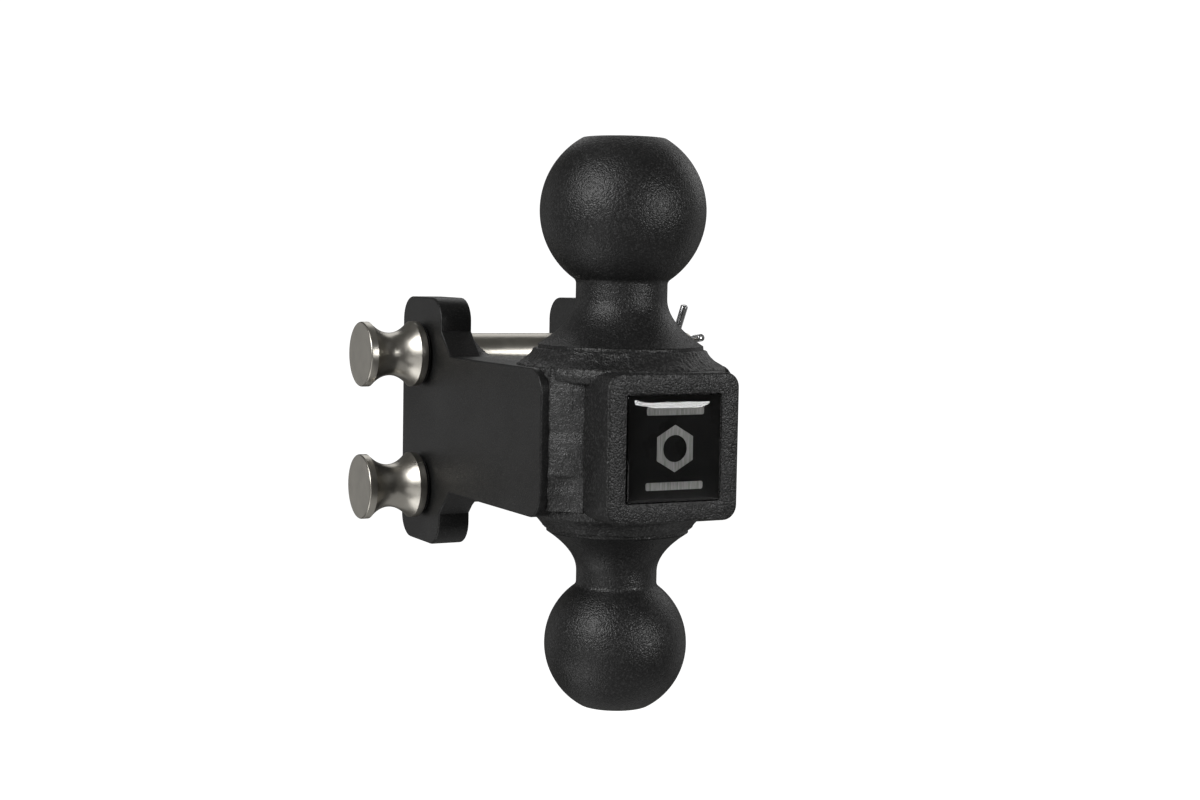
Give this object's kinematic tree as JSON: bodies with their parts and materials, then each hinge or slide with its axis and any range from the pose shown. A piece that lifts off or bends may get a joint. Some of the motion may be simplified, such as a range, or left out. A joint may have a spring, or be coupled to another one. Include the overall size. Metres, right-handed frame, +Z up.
{
  "type": "trailer hitch ball mount",
  "caption": "Twin-ball trailer hitch mount with eared side plates that form a channel, spool-headed cross pins and hairpin clips.",
  "frame": {"origin": "centre of the channel's floor, midway between the two pins", "axes": "+Y out of the channel towards the towing vehicle, +Z up, -X the side of the pins' heads"},
  "size_m": [0.1447, 0.1514, 0.2011],
  "materials": {
    "powder_coat": "fine-grained black powder coat",
    "coated_weld": "weld bead under black powder coat",
    "stainless_steel": "turned and satin polished",
    "zinc_wire": "bright zinc-plated spring wire",
    "washer_rubber": "matt black",
    "badge_black": "gloss black under poured resin",
    "badge_silver": "satin foil"
  },
  "bodies": {
    "mount": {"center_bar": "powder_coat", "left_side_plate": "powder_coat", "right_side_plate": "powder_coat", "upper_ball": "powder_coat", "lower_ball": "powder_coat", "upper_ball_weld": "coated_weld", "lower_ball_weld": "coated_weld", "left_front_weld": "coated_weld", "right_front_weld": "coated_weld", "upper_left_seam_weld": "coated_weld", "upper_right_seam_weld": "coated_weld", "lower_left_seam_weld": "coated_weld", "lower_right_seam_weld": "coated_weld", "badge_backing": "badge_black", "badge_emblem": "badge_silver", "badge_upper_bar": "badge_silver", "badge_lower_bar": "badge_silver", "badge_dome": "badge_black"},
    "upper_washer_body": {"upper_pin_washer": "washer_rubber"},
    "upper_pin_body": {"upper_pin": "stainless_steel"},
    "upper_clip_body": {"upper_clip": "zinc_wire"},
    "lower_washer_body": {"lower_pin_washer": "washer_rubber"},
    "lower_pin_body": {"lower_pin": "stainless_steel"},
    "lower_clip_body": {"lower_clip": "zinc_wire"}
  },
  "joints": [
    {"name": "upper_pin_slide", "type": "slide", "parent": "mount", "child": "upper_washer_body", "axis": [-1, 0, 0], "range_m": [0, 0.032]},
    {"name": "upper_pin_spin", "type": "hinge", "parent": "upper_washer_body", "child": "upper_pin_body", "pos_m": [0, 0.01905, 0.0254], "axis": [1, 0, 0], "range_deg": [-15, 270]},
    {"name": "upper_clip_pull", "type": "slide", "parent": "upper_pin_body", "child": "upper_clip_body", "axis": [0, 0.4848, -0.8746], "range_m": [0, 0.033]},
    {"name": "lower_pin_slide", "type": "slide", "parent": "mount", "child": "lower_washer_body", "axis": [-1, 0, 0], "range_m": [0, 0.032]},
    {"name": "lower_pin_spin", "type": "hinge", "parent": "lower_washer_body", "child": "lower_pin_body", "pos_m": [0, 0.01905, -0.0254], "axis": [1, 0, 0], "range_deg": [-35, 55]},
    {"name": "lower_clip_pull", "type": "slide", "parent": "lower_pin_body", "child": "lower_clip_body", "axis": [0, -0.8191, 0.5736], "range_m": [0, 0.033]}
  ]
}
